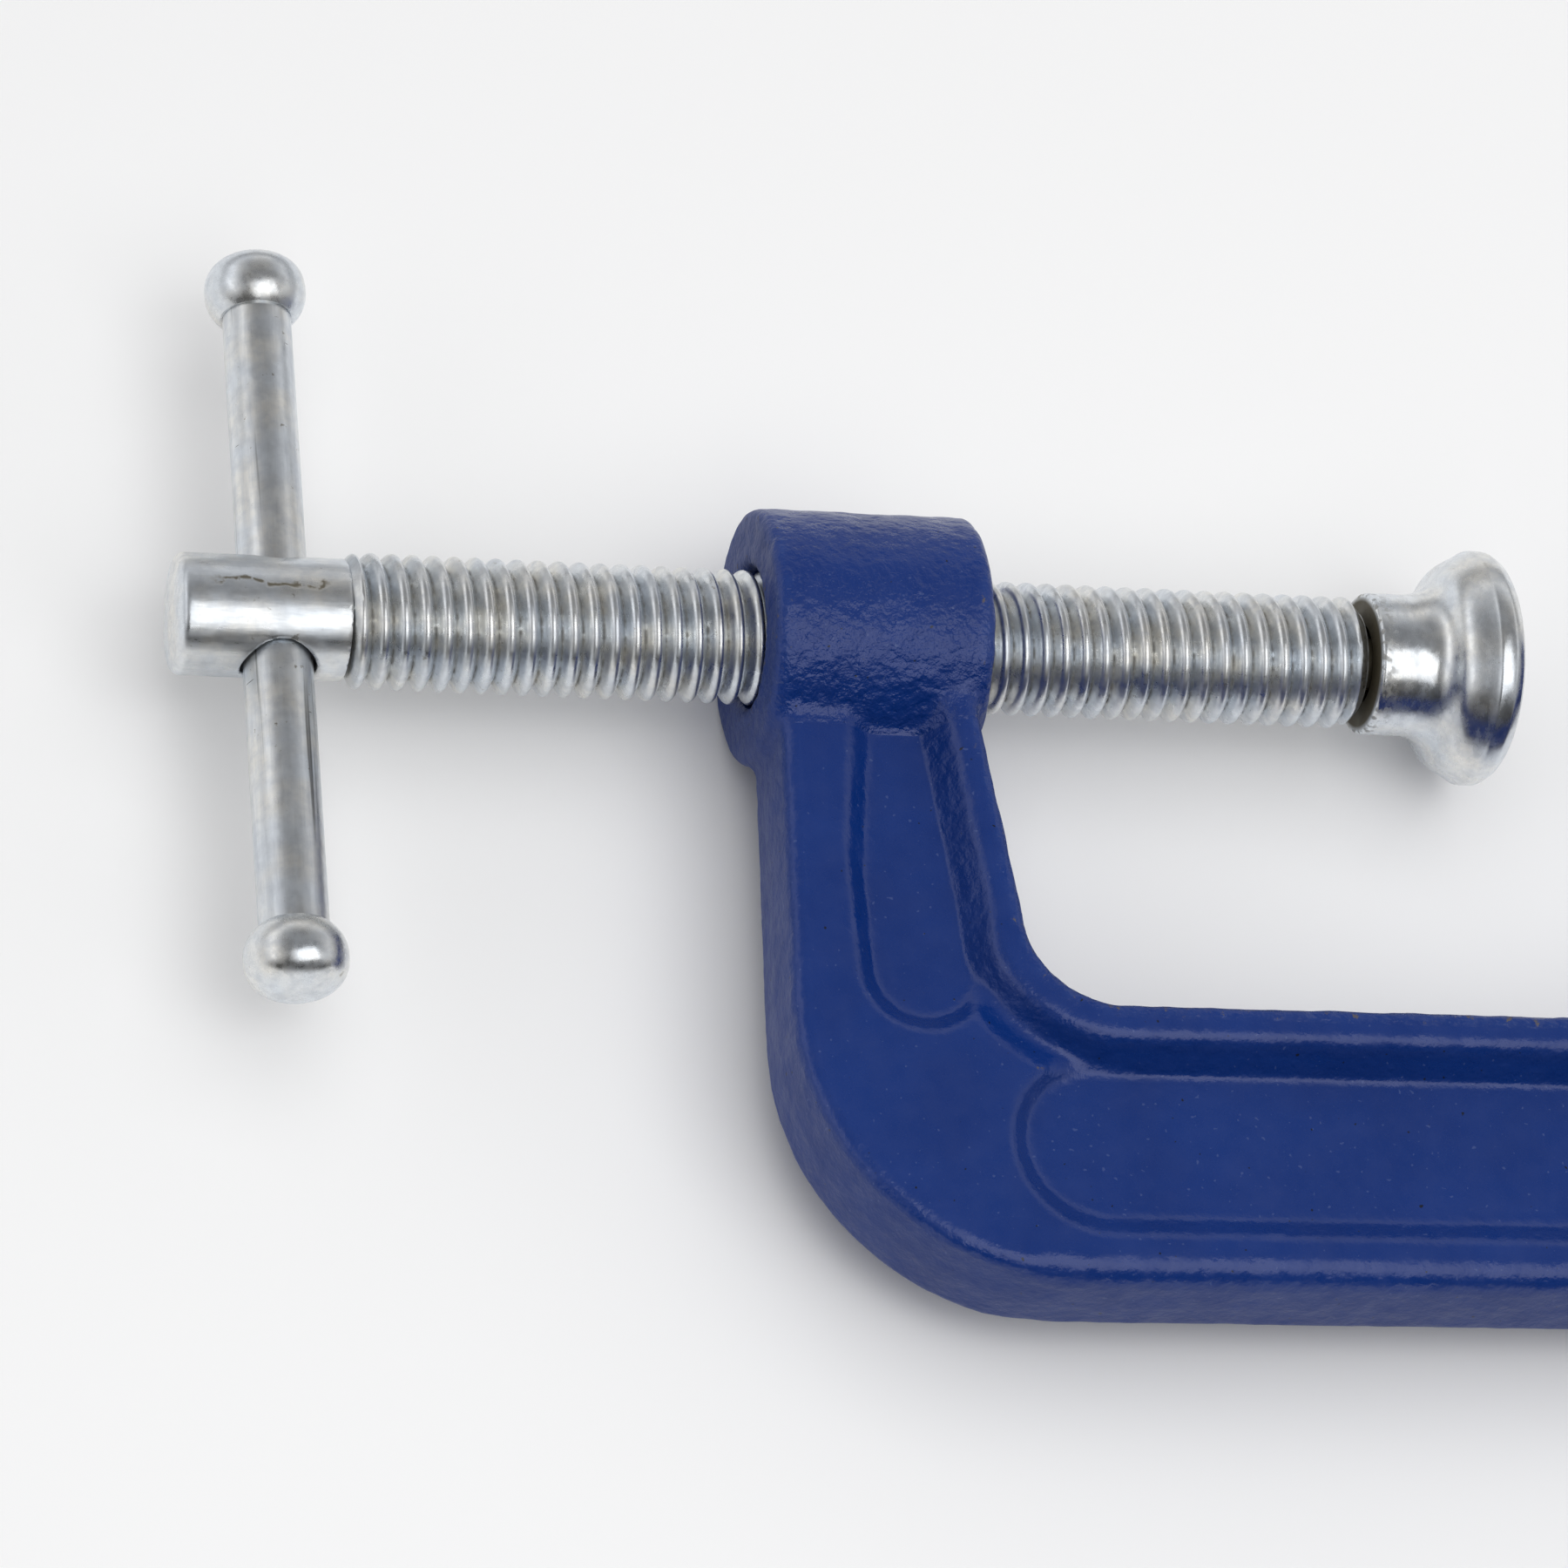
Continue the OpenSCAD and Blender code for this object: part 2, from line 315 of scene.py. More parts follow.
def thread_dirt_and_shade(f):
    """Old greasy grime in the thread's root, painted shade round the neck and on the nose ball, and a
    scar along the head.
    """
    radius, place = screw_place(f)
    root = f.span(radius, 6.55 * MM, 6.85 * MM, 0.6, 0.0)
    patchy = f.math("MULTIPLY", root, f.span(f.noise(1.0, 3), 0.36, 0.62, 0.1, 0.95))
    # Painted shade: the neck and the nose ball, in the gap by the pad's mouth and inside it, are
    # darkened.
    neck = f.span(radius, 5.2 * MM, 6.2 * MM, 1.0, 0.0)
    head_end = SPINDLE_LOW[0] + HEAD_LENGTH + 0.1
    past_head = f.span(place["X"], (head_end - 0.2) * MM, (head_end + 0.2) * MM)
    grease_and_shade = f.math("MULTIPLY", past_head, f.math("MAXIMUM", patchy, neck))
    return f.math("MAXIMUM", grease_and_shade, head_scar(f, place, head_end))


def head_scar(f, place, head_end):
    """A dark scar that wanders along the top of the head and fades before its ends."""
    angle = f.math("ARCTAN2", place["Z"], place["Y"])
    wander = f.span(f.noise(3.0, 3), 0.3, 0.7, -0.10, 0.10)
    away = f.math("ABSOLUTE", f.math("SUBTRACT", f.math("SUBTRACT", angle, SCAR_ANGLE), wander))
    scar = f.math("MULTIPLY", f.span(away, 0.02, 0.075, 0.95, 0.0), f.span(f.noise(1.2, 2), 0.33, 0.46))
    start = f.span(place["X"], (SPINDLE_LOW[0] + 3) * MM, (SPINDLE_LOW[0] + 5) * MM)
    stop = f.span(place["X"], (head_end - 3) * MM, (head_end - 1.5) * MM, 1.0, 0.0)
    return f.math("MULTIPLY", scar, f.math("MULTIPLY", start, stop))


def mouth_shade_and_specks(f):
    """Painted shade inside the pad and on the face round its mouth, and greasy specks on the collar by
    its mouth.
    """
    radius, place = screw_place(f)
    # Painted shade: inside the pad and on the front face round its lip, near the mouth.
    inside = f.span(radius, 7.6 * MM, 8.3 * MM, 1.0, 0.0)
    front = f.span(place["X"], (PAD_LOW[0] + 9) * MM, (PAD_LOW[0] + 10) * MM, 1.0, 0.0)
    near = f.span(place["X"], (PAD_LOW[0] + 0.3) * MM, (PAD_LOW[0] + 2.6) * MM, 0.6, 0.0)
    specks = f.math("MULTIPLY", near, f.span(f.noise(0.9, 3), 0.50, 0.62))
    return f.math("MAXIMUM", f.math("MULTIPLY", inside, front), specks)


def steel_finish():
    """Dark spring steel with a film of oil, for the ring."""
    f = Finish("oily_spring_steel")
    base = f.mix(f.span(f.noise(1.2, 3), 0.4, 0.65), (0.16, 0.15, 0.14, 1), (0.30, 0.29, 0.28, 1))
    f.set(Base_Color=base, Metallic=1.0, Roughness=f.span(f.noise(0.8, 2), 0.3, 0.7, 0.25, 0.5),
          Normal=f.bump(f.noise(0.6, 3), 0.02))
    return f.material


# ---------------------------------------------------------------- distance fields


def both(a, b, r=0.0):
    """Where two shapes overlap, with the edge between them rounded by r."""
    if np.ndim(r) == 0 and r == 0:
        return np.maximum(a, b)
    return np.minimum(np.maximum(a, b), -r) + np.hypot(np.maximum(a + r, 0), np.maximum(b + r, 0))


def either(a, b, r=0.0):
    """Two shapes as one, with the corner between them filled by r."""
    return -both(-a, -b, r)


def less(a, b, r=0.0):
    """The first shape with the second cut out of it, and the edge of the cut rounded by r."""
    return both(a, -b, r)


def eased(start, stop, value):
    """0 at start, 1 at stop, smooth between them and level outside."""
    t = np.clip((value - start) / (stop - start), 0, 1)
    return t * t * (3 - 2 * t)


def outline_distance(x, y, points):
    """Distance from a closed outline, negative inside it."""
    x, y = np.broadcast_arrays(x, y)
    nearest, inside = np.full(x.shape, 1e9), np.zeros(x.shape, bool)
    for (ax, ay), (bx, by) in zip(points, points[1:] + points[:1]):
        ex, ey, px, py = bx - ax, by - ay, x - ax, y - ay
        t = np.clip((px * ex + py * ey) / (ex * ex + ey * ey), 0, 1)
        nearest = np.minimum(nearest, (px - t * ex) ** 2 + (py - t * ey) ** 2)
        if ey != 0:
            inside ^= ((ay > y) != (by > y)) & (px < py * ex / ey)
    return np.where(inside, -1, 1) * np.sqrt(nearest)


def arc(cx, cy, r, start, stop, steps=14):
    """Points on a circle, from start to stop degrees."""
    return [(cx + r * math.cos(math.radians(a)), cy + r * math.sin(math.radians(a)))
            for a in np.linspace(start, stop, steps)]


class CastFrame:
    """The casting as a distance field, in millimetres. It is the same above and below z = 0."""

    def __init__(self, s):
        self.mm = mm = {key: getattr(s, key) / MM for key in ClampFrameSizes.__annotations__
                        if key != "draft"}
        self.slope = math.tan(s.draft)
        self.boss_x0 = FRAME_LOW[0] + 0.9
        self.boss_x1 = self.boss_x0 + mm["boss_length"]
        self.boss_mid = (self.boss_x0 + self.boss_x1) / 2
        self.foot0, self.foot1 = self.boss_x1 + 1.1, 4.0
        self.foot_y = mm["throat_radius"] - mm["throat_depth"]
        self.mid = (self.foot0 + self.foot1) / 2
        self.throat = self.throat_outline()
        self.outside = self.outer_outline()
        self.panels = self.panel_outlines()

    def throat_outline(self):
        """The open throat, which goes on past the screw; its sides lean outwards."""
        r, lean, bend_y, top = self.mm["throat_radius"], 2.8, -11, 60
        left, right = self.foot0, self.foot1
        return ([(left - lean, top), (left - lean, bend_y)]
                + arc(left + r, self.foot_y, r, 180, 270)
                + arc(right - r, self.foot_y, r, 270, 360)
                + [(right + lean, bend_y), (right + lean, top)])

    def outer_outline(self):
        """The outer side of the two arms and the spine, with the round corners between them."""
        x0, x1, base = FRAME_LOW[0], FRAME_HIGH[0], FRAME_LOW[1]
        c = self.mm["corner_radius"]
        shoulder = base + c + 2.3
        return ([(self.boss_x0 + 2, 0), (self.boss_x0 + 1, -17), (x0, shoulder)]
                + arc(x0 + c, base + c, c, 180, 270, 22) + arc(x1 - c, base + c, c, 270, 360, 22)
                + [(x1, shoulder), (ANVIL_BACK, 0)])

    def panel_outlines(self):
        """The floor and the lip of each sunken panel, each the hull of discs (x, y, radius)."""
        b, depth = self.boss_x0, self.mm["throat_depth"]
        flip = 2 * self.mid - b
        screw_arm = ([(b + 13.5, -15, 1), (b + 17.8, -15, 1), (b + 15.6, -46.2, 5.6)],
                     [(b + 8.3, -12, 1), (b + 22.7, -12, 1), (b + 15.2, -47.2, 10.0)])
        anvil_arm = ([(12.8, -20, 1), (15.9, -20, 1), (flip - 15.6, -46.2, 5.6)],
                     [(7.8, -16.5, 1), (19.3, -16.5, 1), (flip - 15.2, -47.2, 10.0)])
        spine = ([(b + 35.1, -depth - 16.5, 9.0), (flip - 35.1, -depth - 16.5, 9.0)],
                 [(b + 34.8, -depth - 18.1, 13.5), (flip - 34.8, -depth - 18.1, 13.5)])
        return screw_arm, anvil_arm, spine

    def distance(self, x, y, z):
        h, radius = np.abs(z), np.hypot(y, z)
        outer = outline_distance(x, y, self.outside)
        throat = outline_distance(x, y, self.throat)
        sides = both(outer + h * self.slope, -throat + h * self.slope, 1.0)
        body = either(self.plate(x, y, h, sides), self.flange(y, h, sides, throat), 0.5)
        body = either(body, self.boss(x, radius), self.mm["fillet"])
        body = either(body, self.anvil(x, radius), self.mm["fillet"])
        return less(body, self.bore(x, radius), 0.3)

    def plate(self, x, y, h, sides):
        """The rim and the web, with the panels sunk into them. The spine's outer edge is rounder."""
        mm, flip = self.mm, 2 * self.mid
        on_spine = (eased(-120, -114, x) * eased(-52, -60, y)
                    * eased(flip + 120, flip + 114, x))
        plate = both(sides, h - mm["rim_thickness"] / 2, mm["edge_radius"] + 1.3 * on_spine)
        for low, high in self.panels:
            sunk = both(self.panel(x, y, h, low, high), mm["web_thickness"] / 2 - h, 0.5)
            plate = less(plate, sunk, mm["lip_radius"])
        for corner_x, side in ((self.foot0 + mm["throat_radius"], 1),
                               (self.foot1 - mm["throat_radius"], -1)):
            plate = less(plate, self.corner_groove(x, y, h, corner_x, side), 1.2)
        return plate

    def panel(self, x, y, h, low, high):
        """A sunken panel whose sides slope from its floor outline to its lip outline."""
        rise, directions, slant = 4.4, 48, 0.72
        t = (h - self.mm["web_thickness"] / 2) / rise
        side = -1e9
        for k in range(directions):
            a = 2 * math.pi * k / directions
            u, v = math.cos(a), math.sin(a)
            floor, lip = (max(u * cx + v * cy + r for cx, cy, r in discs) for discs in (low, high))
            side = np.maximum(side, u * x + v * y - floor - t * (lip - floor))
        return side * slant

    def corner_groove(self, x, y, h, corner_x, side):
        """A shallow groove behind the flange, round one throat corner."""
        rim = self.mm["rim_thickness"] / 2
        out = np.hypot(x - corner_x, y - self.foot_y)
        across = out - self.mm["throat_radius"] - self.mm["flange_width"] - 2.6
        quarter = np.maximum((x - corner_x) * side, y - self.foot_y)
        return both(np.hypot(across, h - rim - 2.2) - 3.5, quarter * 0.7, 2.0)

    def flange(self, y, h, sides, throat):
        """The flange along the throat. Its back slopes down; on the arms it is narrower, steeper."""
        top, on_arm = self.mm["flange_thickness"] / 2, eased(-47, -37, y)
        width = self.mm["flange_width"] - 0.9 * on_arm
        back = throat - width - (top - h) * (0.56 + 0.1 * on_arm)
        return both(both(sides, back), h - top, 1.1)

    def boss(self, x, radius):
        """The round boss that the screw goes through."""
        ends = np.abs(x - self.boss_mid) - self.mm["boss_length"] / 2
        return both(radius - self.mm["boss_diameter"] / 2, ends, 1.3)

    def bore(self, x, radius):
        """The screw's bore, wider at both mouths."""
        inward = self.mm["boss_length"] / 2 - np.abs(x - self.boss_mid)
        return both(radius - np.clip(9.15 - inward, 8.35, 9.6), -inward - 1.5)

    def anvil(self, x, radius):
        """The anvil: a round face at x = 0, and a back that tapers into the arm."""
        r, taper_x, taper, slant = self.mm["anvil_diameter"] / 2, 14, 0.6, 0.857
        front = both(radius - r, -x, 0.9)
        back = both((radius - r + (x - taper_x) * taper) * slant, x - ANVIL_BACK, 2.5)
        return both(front, back, 3.0)


def skin(field, low, step):
    """Closed quads over the surface where field is zero: corners in millimetres, and faces."""
    inside = field < 0
    nx, ny, nz = field.shape
    filled = np.zeros((nx - 1, ny - 1, nz - 1), np.uint8)
    for i, j, k in product((0, 1), repeat=3):
        filled += inside[i:nx - 1 + i, j:ny - 1 + j, k:nz - 1 + k]
    cells = np.argwhere((filled > 0) & (filled < 8))
    number = np.full(filled.shape, -1, np.int64)
    number[tuple(cells.T)] = np.arange(len(cells))
    total, count = np.zeros((len(cells), 3)), np.zeros(len(cells))
    faces = []
    for axis in range(3):
        one, two = (axis + 1) % 3, (axis + 2) % 3
        for i, j in product((0, 1), repeat=2):
            start = cells.copy()
            start[:, one] += i
            start[:, two] += j
            end = start.copy()
            end[:, axis] += 1
            a, b = field[tuple(start.T)], field[tuple(end.T)]
            cut = (a < 0) != (b < 0)
            total[cut] += start[cut]
            total[cut, axis] += (a / np.where(cut, a - b, 1))[cut]
            count[cut] += 1
        ahead = np.take(inside, range(1, inside.shape[axis]), axis)
        here = np.take(inside, range(inside.shape[axis] - 1), axis)
        edges = np.argwhere(here != ahead)
        around = []
        for i, j in ((0, 0), (1, 0), (1, 1), (0, 1)):
            cell = edges.copy()
            cell[:, one] -= i
            cell[:, two] -= j
            around.append(number[tuple(cell.T)])
        quads = np.stack(around, 1)
        leaving = here[tuple(edges.T)]
        faces.append(np.where(leaving[:, None], quads, quads[:, ::-1]))
    return np.array(low) + step * total / count[:, None], np.concatenate(faces)


def slopes(distance, points, reach=0.06):
    """Unit direction away from the surface at each point, and how fast distance grows there."""
    grown = np.empty_like(points)
    for axis in range(3):
        shift = np.zeros(3)
        shift[axis] = reach
        grown[:, axis] = (distance(*(points + shift).T) - distance(*(points - shift).T)) / (2 * reach)
    size = np.linalg.norm(grown, axis=1)
    return grown / np.maximum(size, 1e-6)[:, None], size


def settled(distance, points, rounds=2):
    """Points moved on to the true surface."""
    for _ in range(rounds):
        away, size = slopes(distance, points)
        step = np.clip(distance(*points.T) / np.maximum(size, 0.4), -0.25, 0.25)
        points = points - step[:, None] * away
    return points


def cast_surface(cast, step):
    """Corners and faces of the casting, with the lower half mirrored from the upper one."""
    low = FRAME_LOW - 2.2 * step
    counts = np.ceil((FRAME_HIGH + 2.2 * step - low) / step).astype(int)[:2] + 1
    half = int(math.ceil((FRAME_HIGH[2] + 2 * step) / step))
    heights = (np.arange(half) + 0.5) * step
    x = (low[0] + step * np.arange(counts[0]))[:, None, None]
    y = (low[1] + step * np.arange(counts[1]))[None, :, None]
    upper = cast.distance(x, y, heights[None, None, :])
    field = np.concatenate([upper[:, :, ::-1], upper], axis=2)
    points, faces = skin(field, (low[0], low[1], -heights[-1]), step)
    return settled(cast.distance, points), faces


def cast_marks(cast, points, away):
    """How rough, worn, sheltered and upright the casting is at each point, each from 0 to 1."""
    deep, edge_gain, out, hollow_gain = 2.3, 3.0, 1.1, 2.6
    edge = np.clip((cast.distance(*(points - deep * away).T) + deep) / deep * edge_gain, 0, 1)
    hollow = np.clip((out - cast.distance(*(points + out * away).T)) / out * hollow_gain, 0, 1)
    on_boss = (points[:, 0] < cast.boss_x1 + 2) & (points[:, 1] > -15)
    rough = 0.2 + 0.55 * (1 - np.abs(away[:, 2])) + 0.55 * edge + 0.35 * hollow
    return {"grain": np.clip(np.where(on_boss, 1.0, rough), 0, 1), "edge": edge, "hollow": hollow,
            "side": eased(0.6, 0.25, np.abs(away[:, 2]))}


def rippled(cast, points, away, grain, ripple):
    """The points sunk by the cast skin's ripples, which fade out on the machined places."""
    radius = np.hypot(points[:, 1], points[:, 2])
    bore = (radius < 9.0) & (points[:, 0] < cast.boss_x1 + 1)
    anvil_face = (radius < 14) & (np.abs(points[:, 0]) < 0.5)
    swell = 0.6 + 0.34 * waves(points, 1.9, 5) + 0.22 * waves(points, 3.6, 6)
    swell += 0.20 * waves(points, 1.25, 8)
    sink = ripple * grain * swell * np.where(bore | anvil_face, 0.1, 1)
    return np.clip(points - away * sink[:, None], FRAME_LOW, FRAME_HIGH)


def waves(points, size, seed):
    """Smooth random waves from -1 to 1, about one to each size."""
    table = np.random.default_rng(seed).uniform(-1, 1, (32, 32, 32))
    p = points / size + 1000
    cell = np.floor(p).astype(int)
    t = p - cell
    t = t * t * (3 - 2 * t)
    out = np.zeros(len(points))
    for corner in product((0, 1), repeat=3):
        i = (cell + corner) % 32
        out += np.prod(np.where(corner, t, 1 - t), axis=1) * table[i[:, 0], i[:, 1], i[:, 2]]
    return out


# ---------------------------------------------------------------- meshes


def turned(profile, sides, along="X", centre=(0, 0, 0)):
    """A body of revolution from (place, radius) pairs in millimetres; both ends are on the axis."""
    points, faces, rings = [], [], []
    for place, radius in profile:
        if radius < 1e-6:
            rings.append([len(points)])
            points.append((place, 0.0, 0.0))
        else:
            rings.append(range(len(points), len(points) + sides))
            points += [(place, radius * math.cos(2 * math.pi * k / sides),
                        radius * math.sin(2 * math.pi * k / sides)) for k in range(sides)]
    for a, b in zip(rings, rings[1:]):
        for k in range(sides):
            n = (k + 1) % sides
            if len(a) == 1:
                faces.append((a[0], b[n], b[k]))
            elif len(b) == 1:
                faces.append((a[k], a[n], b[0]))
            else:
                faces.append((a[k], a[n], b[n], b[k]))
    points = np.array(points)
    if along == "Y":
        points = points[:, [2, 0, 1]]
    return points + np.array(centre), faces


def make_piece(name, shells, material, attributes=None, sharp=40):
    """One mesh object from shells of (points in millimetres, faces), at the origin."""
    points, faces, start = [], [], 0
    for shell_points, shell_faces in shells:
        points.append(np.asarray(shell_points, float))
        faces += [[int(i) + start for i in face] for face in shell_faces]
        start += len(shell_points)
    mesh = bpy.data.meshes.new(name)
    mesh.from_pydata((np.concatenate(points) * MM).tolist(), [], faces)
    mesh.polygons.foreach_set("use_smooth", [True] * len(mesh.polygons))
    if sharp:
        mesh.set_sharp_from_angle(angle=math.radians(sharp))
    for key, values in (attributes or {}).items():
        mesh.attributes.new(key, "FLOAT", "POINT").data.foreach_set("value", values.astype(np.float32))
    mesh.materials.append(material)
    piece = bpy.data.objects.new(name, mesh)
    bpy.context.scene.collection.objects.link(piece)
    return piece


def mesh_shell(mesh):
    """Points in millimetres and faces of a mesh whose doubles are merged."""
    work = bmesh.new()
    work.from_mesh(mesh)
    bmesh.ops.remove_doubles(work, verts=work.verts, dist=2e-6)
    bmesh.ops.dissolve_degenerate(work, edges=work.edges, dist=1e-7)
    work.verts.index_update()
    points = [[c / MM for c in v.co] for v in work.verts]
    faces = [[v.index for v in face.verts] for face in work.faces]
    work.free()
    return points, faces


# ---------------------------------------------------------------- the thread, as a node tree


class Tree:
    """Builds a geometry node tree with named inputs."""

    def __init__(self, name):
        self.tree = bpy.data.node_groups.new(name, "GeometryNodeTree")
        self.tree.is_modifier = True
        self.tree.interface.new_socket("Geometry", in_out="OUTPUT", socket_type="NodeSocketGeometry")
        self.inputs = {}

    def input(self, name, kind):
        socket = self.tree.interface.new_socket(name, in_out="INPUT", socket_type="NodeSocket" + kind)
        self.inputs[name] = socket.identifier

    def start(self):
        self.source = self.tree.nodes.new("NodeGroupInput")

    def given(self, name):
        return next(s for s in self.source.outputs if s.name == name)

    def add(self, kind, inputs=None, **settings):
        node = self.tree.nodes.new(kind)
        for key, value in settings.items():
            setattr(node, key, value)
        for key, value in (inputs or {}).items():
            if isinstance(value, bpy.types.NodeSocket):
                self.tree.links.new(value, node.inputs[key])
            else:
                node.inputs[key].default_value = value
        return node

    def math(self, kind, a, b=0.0):
        return self.add("ShaderNodeMath", {0: a, 1: b}, operation=kind).outputs[0]


# Height of the thread from root (0) to crest (1), over the first half of one pitch.
THREAD_FLANK = ((0.0, 0.0), (0.083, 0.20), (0.167, 0.48), (0.25, 0.71), (0.36, 0.91), (0.5, 1.0))


def thread_tree():
    """A right-hand thread along X. Rows of a grid follow the helix, so that crests stay clean."""
    t = Tree("screw_thread")
    for name, kind in (("Start", "Float"), ("Length", "Float"), ("Pitch", "Float"),
                       ("Crest Radius", "Float"), ("Root Radius", "Float"), ("Phase", "Float"),
                       ("Steps", "Int"), ("Sides", "Int"), ("Material", "Material")):
        t.input(name, kind)
    t.start()
    g, m = t.given, t.math
    turns = m("ADD", m("CEIL", m("DIVIDE", g("Length"), g("Pitch"))), 2.0)
    rows = m("ADD", m("MULTIPLY", turns, g("Steps")), 1.0)
    grid = t.add("GeometryNodeMeshGrid", {"Size X": 1.0, "Size Y": 1.0,
                                          "Vertices X": m("ADD", g("Sides"), 1.0), "Vertices Y": rows})
    split = t.add("ShaderNodeSeparateXYZ", {0: t.add("GeometryNodeInputPosition").outputs[0]})
    around, down = m("ADD", split.outputs[0], 0.5), m("ADD", split.outputs[1], 0.5)
    row = m("ROUND", m("MULTIPLY", down, m("SUBTRACT", rows, 1.0)))
    turn = m("ADD", m("SUBTRACT", m("DIVIDE", row, g("Steps")), 1.0), g("Phase"))
    raw = m("MULTIPLY", m("ADD", turn, around), g("Pitch"))
    along = m("MINIMUM", m("MAXIMUM", raw, 0.0), g("Length"))
    of_pitch = m("FRACT", m("DIVIDE", m("ADD", row, 0.001), g("Steps")))
    rise = t.add("ShaderNodeFloatCurve", {"Value": of_pitch})
    curve = rise.mapping.curves[0]
    points = list(THREAD_FLANK) + [(1 - a, b) for a, b in THREAD_FLANK[-2::-1]]
    curve.points[0].location, curve.points[-1].location = points[0], points[-1]
    for a, b in points[1:-1]:
        curve.points.new(a, b)
    rise.mapping.update()
    depth = m("SUBTRACT", g("Crest Radius"), g("Root Radius"))
    radius = m("ADD", g("Root Radius"), m("MULTIPLY", depth, rise.outputs[0]))
    to_end = m("MINIMUM", along, m("SUBTRACT", g("Length"), along))
    radius = m("MINIMUM", radius, m("ADD", g("Root Radius"), to_end))
    last = m("SUBTRACT", rows, 1.5)
    kept = m("MULTIPLY", m("GREATER_THAN", row, 0.5), m("LESS_THAN", row, last))
    radius = m("MULTIPLY", radius, kept)
    angle = m("MULTIPLY", around, 2 * math.pi)
    place = t.add("ShaderNodeCombineXYZ", {0: m("ADD", along, g("Start")),
                                           1: m("MULTIPLY", radius, m("COSINE", angle)),
                                           2: m("MULTIPLY", radius, m("SINE", angle))})
    moved = t.add("GeometryNodeSetPosition", {"Geometry": grid.outputs["Mesh"],
                                              "Position": place.outputs[0]})
    merged = t.add("GeometryNodeMergeByDistance", {"Geometry": moved.outputs[0], "Distance": 2e-6})
    real = t.add("GeometryNodeRealizeInstances", {"Geometry": merged.outputs[0]})
    dressed = t.add("GeometryNodeSetMaterial", {"Geometry": real.outputs[0], "Material": g("Material")})
    out = t.tree.nodes.new("NodeGroupOutput")
    t.tree.links.new(dressed.outputs[0], out.inputs[0])
    return t


def thread_mesh(start, reach, s, phase, material):
    """The thread's mesh, worked out by its node tree."""
    tree = thread_tree()
    holder = bpy.data.objects.new("thread_maker", bpy.data.meshes.new("thread_maker"))
    bpy.context.scene.collection.objects.link(holder)
    modifier = holder.modifiers.new("thread", "NODES")
    modifier.node_group = tree.tree
    crest = s.crest_diameter / 2
    for name, value in (("Start", start * MM), ("Length", reach * MM), ("Pitch", s.pitch),
                        ("Crest Radius", crest), ("Root Radius", crest - s.thread_depth),
                        ("Phase", phase), ("Steps", s.steps), ("Sides", s.sides),
                        ("Material", material)):
        modifier[tree.inputs[name]] = value
    bpy.context.view_layer.update()
    graph = bpy.context.evaluated_depsgraph_get()
    mesh = bpy.data.meshes.new_from_object(holder.evaluated_get(graph))
    bpy.data.objects.remove(holder)
    return mesh


# ---------------------------------------------------------------- parts of the pieces


def screw_head(s, thread_x):
    """The plain head, slightly domed at its end, with the cross hole for the tommy bar."""
    head_x, head_r, hole_r = SPINDLE_LOW[0], s.head_diameter / MM / 2, s.hole_diameter / MM / 2
    bar_x = (BAR_LOW[0] + BAR_HIGH[0]) / 2
    overlap, dome, step = 0.5, 0.012, 0.3

    def distance(x, y, z):
        solid = both(np.hypot(y, z) - head_r, head_x - x + (y * y + z * z) * dome, 0.9)
        solid = both(solid, x - thread_x - overlap, 0.15)
        return less(solid, np.hypot(x - bar_x, z) - hole_r, 0.5)

    low = np.array([head_x, -head_r, -head_r]) - 2.3 * step
    high = np.array([thread_x + overlap, head_r, head_r]) + 2.3 * step
    counts = np.ceil((high - low) / step)
    axes = [low[i] + step * np.arange(int(counts[i]) + 1) for i in range(3)]
    field = distance(axes[0][:, None, None], axes[1][None, :, None], axes[2][None, None, :])
    points, faces = skin(field, low, step)
    return settled(distance, points, 3), faces


def screw_thread(s, start, stop, material):
    """The thread, turned so that its crests on the +Y side stand whole pitches from crest_x."""
    pitch, crest_x = s.pitch / MM, -0.196
    phase = ((crest_x + 0.5 * pitch - start) / pitch) % 1.0
    return mesh_shell(thread_mesh(start, stop - start, s, phase, material))


def screw_nose(s, thread_end):
    """The neck behind the pad's mouth and the ball inside the pad."""
    neck_r, nose_r = s.neck_diameter / MM / 2, s.nose_diameter / MM / 2
    nose_x = SPINDLE_HIGH[0] - nose_r
    meet = math.degrees(math.asin(neck_r / nose_r))
    ball = arc(nose_x, 0, nose_r, 180 - meet, 0, 24)
    return turned([(thread_end - 0.5, 0), (thread_end - 0.5, neck_r)] + ball[:-1]
                  + [(nose_x + nose_r, 0)], 48)


def bar_profile(r, half):
    """The tommy bar's rod, with bevelled ends inside the balls."""
    bevel = 0.4
    return ([(-half, 0), (-half, r - bevel), (-half + bevel, r)]
            + [(y, r) for y in np.linspace(-half + 1, half - 1, 24)]
            + [(half - bevel, r), (half, r - bevel), (half, 0)])


def ball_profile(bar_r):
    """A pressed ball end: it necks in on to the bar, and its tip is a little flat."""
    ball_r = (BALL_HIGH[0] - BALL_LOW[0]) / 2 + 0.15
    tip, inner, middle = BALL_HIGH[1] - 1.2, BALL_LOW[1] + 0.7, BALL_HIGH[1] - ball_r
    socket, flatness = 2.5, 0.72
    lip = math.asin((bar_r + 0.3) / ball_r)
    reach = (middle - inner) / math.cos(lip)
    profile = [(inner + socket, 0), (inner + socket, bar_r + 0.02), (inner, bar_r + 0.02)]
    for a in np.linspace(math.degrees(lip), 90, 16):
        profile.append((middle - reach * math.cos(math.radians(a)), ball_r * math.sin(math.radians(a))))
    for a in np.linspace(90, 0, 20)[1:-1]:
        c, v = math.cos(math.radians(a)), math.sin(math.radians(a))
        profile.append((middle + (tip - middle) * c ** flatness, ball_r * v))
    return profile + [(tip, 0)]


